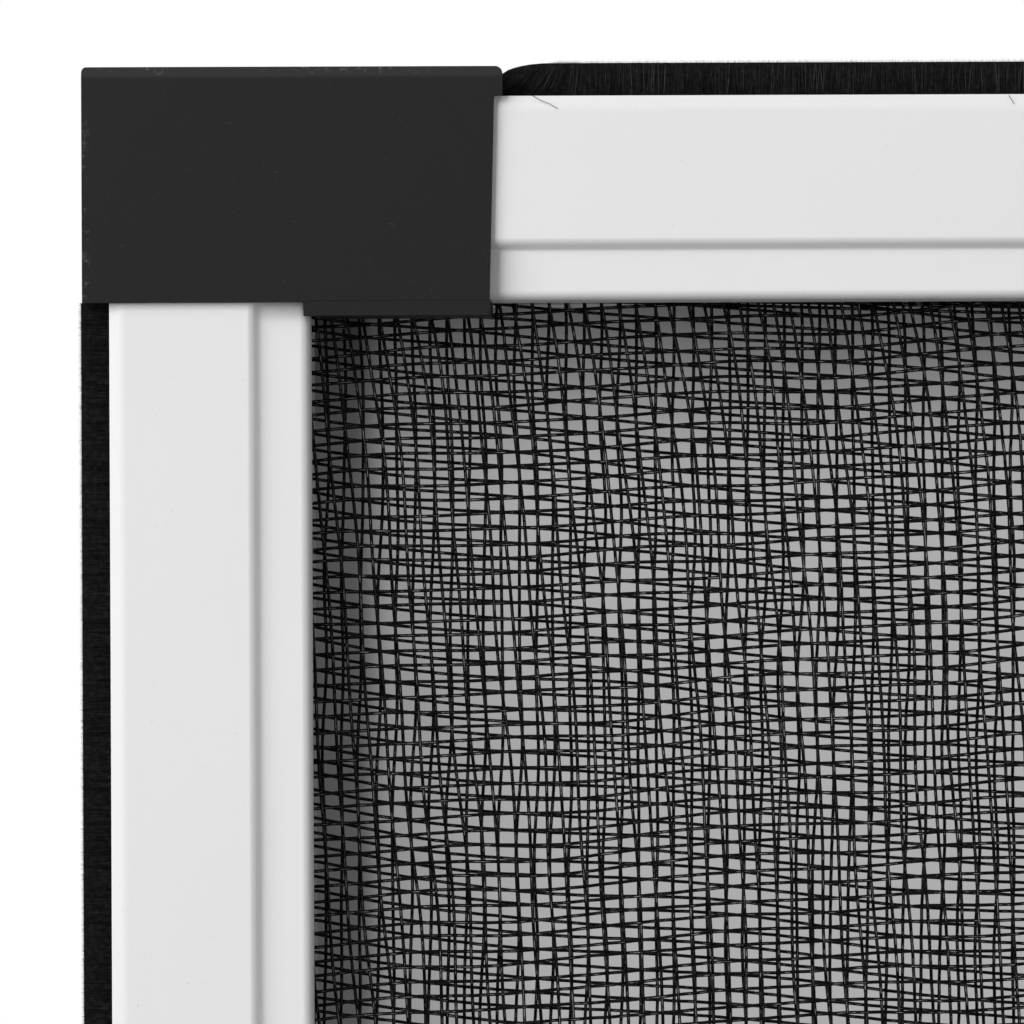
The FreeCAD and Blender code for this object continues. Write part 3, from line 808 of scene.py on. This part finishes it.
def lay_yarn(weave, number, upright, limits, corner, sign):
    """The path of one yarn in panel millimetres, or None where it misses the opening."""
    low, high = limits
    axis = 1 if upright else 0
    samples = np.arange(*SAMPLES) * FINE_STEP
    fixed = np.full_like(samples, number)
    flat = weave.at(fixed, samples) if upright else weave.at(samples, fixed)
    # Of the three phases two are used, which keeps the yarns in the places matched to the picture
    phases = weave.random.uniform(0, FULL_TURN, 3)
    offset = weave.random.normal(0, YARN_SPREAD)
    waves = zip(YARN_WAVES, phases)
    drift = sum(size * np.sin(samples / length + phase) for (length, size), phase in waves)
    flat[:, 1 - axis] += offset + drift
    place = corner + flat * np.array([sign, -1])
    inside = np.flatnonzero(np.all((place > low) & (place < high), axis=1))
    if len(inside) < FEWEST_SAMPLES:
        return None
    inside = np.arange(inside[0], inside[-1] + 1)
    near = np.abs(flat[inside]).max(axis=1) < FINE_REACH
    kept = near | (inside % COARSE_EVERY == 0)
    kept[0] = kept[-1] = True
    chosen, near = inside[kept], near[kept]
    swing = (1 if upright else -1) * np.cos(math.pi * (samples[chosen] + number))
    level = MESH_MIDDLE + WAVE * swing * near
    path = np.stack([place[chosen, 0], level, place[chosen, 1]], axis=1)

    # Each end goes to the border, over it and down into the groove
    column = 2 * axis
    borders = [(low[axis], -1), (high[axis], 1)]
    if path[-1, column] < path[0, column]:
        borders.reverse()
    hems = []
    for end, (edge, outward) in zip((0, -1), borders):
        over, down = path[end].copy(), path[end].copy()
        over[column], over[1] = edge, MESH_MIDDLE
        down[column], down[1] = edge + HEM_SPREAD * outward, MESH_MIDDLE - HEM
        hems.append([down, over])
    return np.concatenate([hems[0], path[1:-1], hems[1][::-1]])


def make_weave(name, panel, seed, pitches, first, lean, slope, drag):
    """The mesh of one panel: all upright yarns, then all level ones."""
    weave = Weave(seed, pitches, first, math.radians(lean), math.radians(slope), drag)
    low = np.array([BLOCK_WIDTH - GROOVE_WALL, BLOCK_HEIGHT - GROOVE_WALL])
    high = np.array([PANEL_WIDTH, PANEL_HEIGHT]) - low
    local = panel_matrix(panel).inverted() @ picture_corner
    corner = np.array([local.x, local.z])
    sign = 1 if panel == "front" else -1
    depth = np.array([0, YARN_DEPTH / 2, 0])
    vertices, faces, total = [], [], 0
    for across, upright in enumerate((True, False)):
        side = np.zeros(3)
        side[2 * across] = YARN_WIDTH / 2
        count = int((high[across] - low[across]) / pitches[across])
        for number in range(-YARNS_PAST, count + YARNS_PAST):
            path = lay_yarn(weave, number, upright, (low, high), corner, sign)
            if path is not None:
                tube, quads = tube_arrays(path, side, depth)
                vertices.append(tube)
                faces.append(quads + total)
                total += len(tube)
    sheet = add_mesh(name, np.concatenate(vertices), np.concatenate(faces))
    # Each ring of a tube has its second and fourth point on the yarn's back and front, where the yarn's
    # painted highlight lies
    crest = sheet.data.attributes.new("crest", "FLOAT", "POINT")
    crest.data.foreach_set("value", np.tile([0.0, 1.0, 0.0, 1.0], total // 4))
    start_editing(sheet)
    bpy.ops.mesh.normals_make_consistent(inside=False)
    stop_editing()
    bpy.ops.object.shade_smooth()
    settle(sheet, panel_matrix(panel), yarn, panel, f"{panel}_mesh")


for panel, layout in WEAVES.items():
    make_weave(f"{panel}_mesh_weave", panel, *layout)

# %% [markdown]
# ## The brushes
# Brush seal is dense pile woven into a flat backing. A dark core keeps light from shining through,
# and thousands of single hairs stand out of it. Each hair is a thin spike, so that it costs three
# triangles. Where the picture looks closely, the hairs are dense. Beside a corner piece the first
# hairs are pressed down by its cap, so the pile rises to its full height over a few millimetres.

# %% Brush sizes
PILE_WIDTH = 2.8
PILE_RISE = 4.4
RISE_ROUNDNESS = 0.7
PRESSED = 2.5
DENSE_HAIRS = 240
SPARSE_HAIRS = 14
FUZZ = 0.22
BACKING = 1.0
SIDE_GREY = 0.25
CORE_INSET = 0.15
CORE_CUTS = (0.5, 1.1, 1.8, 2.6, 3.5, PILE_RISE)
PILE_HEIGHTS = {"top_rail": 3.45, "bottom_rail": RAIL_CAP, "outer_stile": 3.0, "inner_stile": 3.0}
print("pile", PILE_WIDTH, "mm wide and up to", PILE_HEIGHTS["top_rail"], "mm high")

# %% Brush core


def pile_height(away, full, pressed):
    """Height of the pile at a distance from the corner piece's end."""
    share = np.clip(away / PILE_RISE, 0, 1) ** RISE_ROUNDNESS
    return pressed + (full - pressed) * np.sin(share * math.pi / 2)


def make_core(name, start, end, full, pressed):
    """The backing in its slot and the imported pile, a bar whose ends follow the pressed hairs."""
    centre, half = DEPTH / 2, PILE_WIDTH / 2 - CORE_INSET
    core = add_box(name, (start, centre - half, -full), (end, centre + half, LIP + FIT))
    start_editing(core)
    for away in CORE_CUTS:
        for x in (start + away, end - away):
            bpy.ops.mesh.select_all(action="SELECT")
            bpy.ops.mesh.bisect(plane_co=(x, 0, 0), plane_no=(1, 0, 0))
    stop_editing()
    for vertex in core.data.vertices:
        if vertex.co.z < 0:
            away = min(vertex.co.x - start, end - vertex.co.x)
            vertex.co.z = -float(pile_height(away, full, pressed)) + FUZZ
    hold = BRUSH_CAVITY / 2 - FIT
    backing = (start, centre - hold, LIP + FIT / 2), (end, centre + hold, LIP + BACKING)
    combine(core, "UNION", [backing])
    return core


print("the pile rises to its full height over", PILE_RISE, "mm")

# %% Brush hairs
HAIR_WIDTH = 0.075
HAIR_SPREAD = (0.7, 1.3)
SPARSE_WIDTH = 3
HEIGHT_SPREAD = 0.03
TALLEST = 1.06
# The roots start at different heights, and those in the middle further out, hidden in the core
ROOT_SPREAD = 0.6
MIDDLE_START = 0.9
SIDE_ROW = 0.3
# Hairs lean at random, and are pushed over beside a corner piece, as shares of their height
LEAN = 0.06
PUSH = 0.9
PUSH_REACH = 1.6 * PILE_RISE
SIDE_LEAN = 0.8
SIDE_REACH = 0.35
TIP_GREY = 0.1


def make_hairs(random, start, end, spans, full, pressed):
    """Spikes of three faces: their points, faces and tip values."""
    centre, half = DEPTH / 2, PILE_WIDTH / 2
    points, faces, total = [], [], 0
    for low, high, density in spans:
        count = int((high - low) * density)
        x = random.uniform(low, high, count)
        y = centre + random.uniform(-half, half, count)
        away = np.minimum(x - start, end - x)
        height = pile_height(away, full, pressed) * random.normal(1, HEIGHT_SPREAD, count)
        height = np.minimum(height, full * TALLEST if full > RAIL_CAP + FIT else full)
        inner = np.abs(y - centre) < half - SIDE_ROW
        root_z = -random.uniform(0, ROOT_SPREAD, count) - MIDDLE_START * inner
        root = np.stack([x, y, root_z], axis=1)
        lean = random.normal(0, LEAN, (count, 2))
        push = PUSH * np.clip(1 - away / PUSH_REACH, 0, 1) if pressed < full else 0
        lean[:, 0] += push * np.where(x - start < end - x, 1, -1)
        tip_x = np.clip(x + lean[:, 0] * height, start, end)
        reach = half + SIDE_REACH
        tip_y = np.clip(y + lean[:, 1] * height * SIDE_LEAN, centre - reach, centre + reach)
        tip = np.stack([tip_x, tip_y, -height], axis=1)
        turn = random.uniform(0, FULL_TURN, count)
        wide = HAIR_WIDTH / 2 * random.uniform(*HAIR_SPREAD, count)
        wide *= 1 if density == DENSE_HAIRS else SPARSE_WIDTH
        ring = []
        for k in range(3):
            angle = turn + k * FULL_TURN / 3
            ring.append(root + np.stack([np.cos(angle) * wide, np.sin(angle) * wide, 0 * x], axis=1))
        points.append(np.stack([*ring, tip], axis=1).reshape(-1, 3))
        first = total + 4 * np.arange(count)[:, None]
        faces += [first + np.array([[a, b, 3]]) for a, b in ((0, 1), (1, 2), (2, 0))]
        total += 4 * count
    # Most hairs stay dark, a few are painted grey at the tip, where light gets in
    grey = random.uniform(0, 1, total // 4) ** 3
    tips = (np.array([TIP_GREY, TIP_GREY, TIP_GREY, 1])[None, :] * grey[:, None]).ravel()
    return np.concatenate(points), np.concatenate(faces), tips


print("hairs are", HAIR_WIDTH, "mm thick")

# %% Brushes
END_GAP = 0.02


def make_brush(panel, edge, seed, dense=None):
    is_rail = edge.endswith("rail")
    run = RAIL_RUN if is_rail else STILE_RUN
    start = ARM_REACH + CAP_REACH + END_GAP if is_rail else END_GAP
    end = run - start
    full = PILE_HEIGHTS[edge]
    pressed = PRESSED if is_rail else full
    name = f"{panel}_{edge}_brush_pile"
    core = make_core(name, start, end, full, pressed)
    spans = [(start, end, SPARSE_HAIRS)]
    if dense:
        low, high = max(dense[0], start), min(dense[1], end)
        spans = [(low, high, DENSE_HAIRS), (start, low, SPARSE_HAIRS), (high, end, SPARSE_HAIRS)]
    random = np.random.default_rng(seed)
    points, faces, tips = make_hairs(random, start, end, spans, full, pressed)
    tips *= 1 if is_rail else SIDE_GREY
    hairs = add_mesh(f"{name}_hairs", points, faces)
    hairs.data.attributes.new("tip", "FLOAT", "POINT").data.foreach_set("value", tips)
    core.data.attributes.new("tip", "FLOAT", "POINT")
    activate(core)
    hairs.select_set(True)
    bpy.ops.object.join()
    settle(core, edge_matrix(panel, edge), pile, panel, f"{panel}_{edge}_brush")
    print(f"{core.name}: {len(core.data.polygons)} faces")


# The top edge runs from right to left, so its far end is the corner in the picture
CLOSE_VIEWS = {"front_top_rail": (RAIL_RUN - 80, RAIL_RUN), "front_outer_stile": (0, 68)}
FIRST_SEED = {"front": 20, "rear": 30}
for panel in PANELS:
    for order, edge in enumerate(EDGES):
        make_brush(panel, edge, FIRST_SEED[panel] + order, CLOSE_VIEWS.get(f"{panel}_{edge}"))

# %% [markdown]
# ### Stray hairs
# Pile sheds. A few loose hairs lie over the coating beside the top brush, and they are curves with a
# round section, made into meshes.

# %% Stray hairs
STRAY_WIDTH = 0.05
# Points right of the panel's end, into the depth, and above the rail's upper edge
STRAYS = {
    "loose_hair_long": (
        (40.2, 2.4, 0.5),
        (40.9, 0.1, 0.1),
        (41.8, -0.12, -0.5),
        (42.6, -0.1, -0.75),
        (43.3, -0.06, -1.2),
    ),
    "loose_hair_short": ((84.0, 2.7, 0.5), (84.4, 0.2, 0), (84.7, -0.05, -0.5), (84.9, -0.04, -0.9)),
}


def make_stray(name, points):
    """A loose hair: a smooth curve through its points, made a mesh."""
    curve = bpy.data.curves.new(name, "CURVE")
    curve.dimensions = "3D"
    curve.bevel_depth = STRAY_WIDTH / 2 * MM
    curve.bevel_resolution = 1
    spline = curve.splines.new("NURBS")
    spline.points.add(len(points) - 1)
    top = PANEL_HEIGHT - RAIL_CAP
    for point, (x, y, above) in zip(spline.points, points):
        point.co = (*(panel_matrix("front") @ Vector((x, y, top + above))), 1)
    spline.order_u = 3
    spline.use_endpoint_u = True
    activate(add_object(name, curve))
    bpy.ops.object.convert(target="MESH")
    hair = bpy.context.object
    hair.data.attributes.new("tip", "FLOAT", "POINT")
    hair.data.materials.clear()
    hair.data.materials.append(pile)
    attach(hair, "front_panel")


for name, points in STRAYS.items():
    make_stray(name, points)
print("stray hairs:", len(STRAYS))

# %% [markdown]
# ## The splines
# The spline is a plain round cord deep in its groove. Its form in the frame is right, so it only gets
# its rubber.

# %% Splines
for name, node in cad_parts.items():
    if name.endswith("_spline"):
        node.data.materials.clear()
        node.data.materials.append(rubber)
print("splines have their rubber")

# %% [markdown]
# ## Floor, backdrop and light
# The picture is a plain product view against white. A large soft light stands to the upper left, a
# weak one to the right lifts the shadows, a tiny one draws the edges, and the world fills in evenly.
# One more soft light serves whoever looks from behind. A card stands right behind the screen, as the
# table top did: it glows with a painted shade, grey through two layers of mesh, and a painted shadow
# darker beside the frame. It shows only from the front, so that the back can be seen too.

# %% World and lights
AMBIENT = 0.18
WHITE = (1, 1, 1, 1)
# Light: its place, what it points at, its size in metres, and its watts
LIGHTS = {
    "key": ((-2.5, -1.75, 1.6), (-0.2, 0, 0.4), 2.4, 114.075),
    "fill": ((2.2, -1.2, 0.6), (-0.3, 0, 0.45), 1.0, 13),
    "rear_key": ((-1.6, 2.4, 1.8), (0, 0, 0.3), 1.8, 73.125),
    "glint": ((-0.9, -1.0, 1.5), (-0.34, 0, 0.46), 0.12, 2.5),
}


def make_world():
    """White to look at, and an even soft light at a lower level."""
    world = bpy.data.worlds.new("studio")
    bpy.context.scene.world = world
    world.use_nodes = True
    tree = world.node_tree
    background = tree.nodes["Background"]
    background.inputs["Color"].default_value = WHITE
    background.inputs["Strength"].default_value = AMBIENT
    seen = add_node(tree, "ShaderNodeBackground", Color=WHITE)
    path = add_node(tree, "ShaderNodeLightPath")
    direct = path.outputs["Is Camera Ray"]
    for ray in ("Is Transmission Ray", "Is Glossy Ray"):
        both = [(0, direct), (1, path.outputs[ray])]
        direct = add_node(tree, MATH, both, operation="MAXIMUM").outputs["Value"]
    grounds = [(1, background.outputs["Background"]), (2, seen.outputs["Background"])]
    mix = add_node(tree, "ShaderNodeMixShader", [("Fac", direct), *grounds])
    feed(tree.nodes["World Output"], [("Surface", mix.outputs["Shader"])])


def add_light(name, place, target, size, watts):
    light = bpy.data.lights.new(name, "AREA")
    light.shape, light.size, light.energy = "SQUARE", size, watts
    lamp = add_object(name, light)
    lamp.location = place
    direction = Vector(target) - Vector(place)
    lamp.rotation_euler = direction.to_track_quat("-Z", "Y").to_euler()


make_world()
for name, setting in LIGHTS.items():
    add_light(name, *setting)
print("world at", AMBIENT, "with lights:", ", ".join(LIGHTS))

# %% Floor and card
FLOOR_SIZE = 3.2
FLOOR_GAP = 0.0003
RIM_START = 0.75
CARD_INSET = 0.004
CARD_GAP = 0.0005
CARD_PAINTED_SHADE = "#ACACAC"
# The frame's painted shadow on the card, beside a stile and below a rail: each step has two distances
# in millimetres from the opening's edge, and the share of light that its darker end keeps
SHADOW_ACROSS = ((3.5, 7.4, 0.36), (-8.8, 26.5, 0.4))
SHADOW_DOWN = ((-5.4, 20, 0.1),)


def stage_plane(name, size, place, turned):
    bpy.ops.object.select_all(action="DESELECT")
    turn = (math.pi / 2, 0, 0) if turned else (0, 0, 0)
    bpy.ops.mesh.primitive_plane_add(size=1, location=place, rotation=turn)
    plane = bpy.context.object
    plane.name = name
    plane.scale = (size[0], size[1], 1)
    bpy.ops.object.transform_apply(location=True, rotation=True, scale=True)
    plane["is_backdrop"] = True
    return plane


def make_floor():
    """A pale floor that holds the shadow and fades to white at its rim."""
    floor = stage_plane("floor", (FLOOR_SIZE, FLOOR_SIZE), (0, 0, -FLOOR_GAP), False)
    material, tree, shader, place = new_material("pale_floor", "#F0F0F0", 0.9, 1.5, 0.1)
    away = add_node(tree, "ShaderNodeVectorMath", [(0, place)], operation="LENGTH")
    rim = add_node(
        tree,
        RANGE,
        [("Value", away.outputs["Value"])],
        From_Min=RIM_START,
        From_Max=FLOOR_SIZE / 2,
        interpolation_type="SMOOTHSTEP",
    )
    camera_ray = add_node(tree, "ShaderNodeLightPath").outputs["Is Camera Ray"]
    # Pale to look at, and darker for the light that it throws back up at the frame
    tone = add_node(tree, MIX, [("Factor", camera_ray)], **between("#969696", "#F0F0F0"))
    feed(shader, [("Base Color", tone.outputs[MIXED])])
    both = [(0, rim.outputs["Result"]), (1, camera_ray)]
    seen = add_node(tree, MATH, both, operation="MULTIPLY").outputs["Value"]
    white = add_node(tree, "ShaderNodeEmission", Strength=1.0)
    surfaces = [(1, shader.outputs["BSDF"]), (2, white.outputs["Emission"])]
    mix = add_node(tree, "ShaderNodeMixShader", [(0, seen), *surfaces])
    feed(tree.nodes["Material Output"], [("Surface", mix.outputs["Shader"])])
    floor.data.materials.append(material)


def make_card():
    """The grey behind the mesh, a glowing painted shade: seen only from the front, and darker towards
    the frame as a painted shadow.
    """
    low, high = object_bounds()
    size = (high[0] - low[0] - 2 * CARD_INSET, high[2] - low[2] - 2 * CARD_INSET)
    middle = (low[2] + high[2]) / 2
    card = stage_plane("card", size, (0, high[1] + CARD_GAP, middle), True)
    material = bpy.data.materials.new("card_painted_shade")
    material.use_nodes = True
    tree = material.node_tree
    tree.nodes.clear()
    place = add_node(tree, "ShaderNodeTexCoord").outputs["Object"]
    split = add_node(tree, "ShaderNodeSeparateXYZ", [("Vector", place)])
    shares = []
    for axis, edge, centre, steps in (
        ("X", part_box("front_inner_stile")[0][0], 0, SHADOW_ACROSS),
        ("Z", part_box("front_top_rail")[0][2], middle, SHADOW_DOWN),
    ):
        off = add_node(tree, MATH, [(0, split.outputs[axis])], [(1, centre)], operation="SUBTRACT")
        far = add_node(tree, MATH, [(0, off.outputs["Value"])], operation="ABSOLUTE")
        reach = [(0, edge - centre)]
        inward = add_node(tree, MATH, [(1, far.outputs["Value"])], reach, operation="SUBTRACT")
        for dark_end, light_end, least in steps:
            share = add_node(
                tree,
                RANGE,
                [("Value", inward.outputs["Value"])],
                From_Min=dark_end * MM,
                From_Max=light_end * MM,
                To_Min=least,
                interpolation_type="SMOOTHSTEP",
            )
            shares.append(share.outputs["Result"])
    light = shares[0]
    for share in shares[1:]:
        light = add_node(tree, MATH, [(0, light), (1, share)], operation="MULTIPLY").outputs["Value"]
    # The card glows with its painted shade and the frame's painted shadow
    glow = add_node(tree, "ShaderNodeEmission", [("Strength", light)], Color=linear(CARD_PAINTED_SHADE))
    clear = add_node(tree, "ShaderNodeBsdfTransparent")
    geometry = add_node(tree, "ShaderNodeNewGeometry")
    path = add_node(tree, "ShaderNodeLightPath")
    rays = [(0, path.outputs["Is Camera Ray"]), (1, path.outputs["Is Glossy Ray"])]
    seen = add_node(tree, MATH, rays, operation="MAXIMUM")
    both = [(0, seen.outputs["Value"]), (1, geometry.outputs["Backfacing"])]
    front = add_node(tree, MATH, both, operation="SUBTRACT", use_clamp=True).outputs["Value"]
    surfaces = [(1, clear.outputs["BSDF"]), (2, glow.outputs["Emission"])]
    mix = add_node(tree, "ShaderNodeMixShader", [(0, front), *surfaces])
    add_node(tree, "ShaderNodeOutputMaterial", [("Surface", mix.outputs["Shader"])])
    card.data.materials.append(material)


make_floor()
make_card()
print("floor and card ready")

# %% [markdown]
# ## The camera
# The picture is a close, straight view of one corner, 93 mm wide. The corner piece's upper left corner
# lies at a known place in the picture, and the camera is set out from there. It was held a quarter of
# a degree askew, which the long edges show.

# %% Camera
PICTURE_WIDTH = 93.1
DISTANCE = 0.397
FROM_CORNER = (34.62, 41.18)
YAW, PITCH, ROLL = 0.63, -0.08, -0.26
SENSOR = 36
CLIP = (0.01, 50)


def make_camera():
    low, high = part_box("front_outer_top_corner")
    data = bpy.data.cameras.new("camera")
    camera = add_object("camera", data)
    across, down = (offset * MM for offset in FROM_CORNER)
    camera.location = (low[0] + across, low[1] - DISTANCE, high[2] - down)
    yaw = Matrix.Rotation(math.radians(-YAW), 4, "Z")
    pitch = Matrix.Rotation(math.radians(90 - PITCH), 4, "X")
    roll = Matrix.Rotation(math.radians(ROLL), 4, "Z")
    camera.rotation_euler = (yaw @ pitch @ roll).to_euler()
    data.sensor_width = SENSOR
    data.lens = SENSOR * DISTANCE / (PICTURE_WIDTH * MM)
    data.clip_start, data.clip_end = CLIP
    bpy.context.scene.camera = camera
    print(f"lens {data.lens:.0f} mm at {DISTANCE} m")


make_camera()
bpy.context.scene.view_settings.view_transform = "Standard"
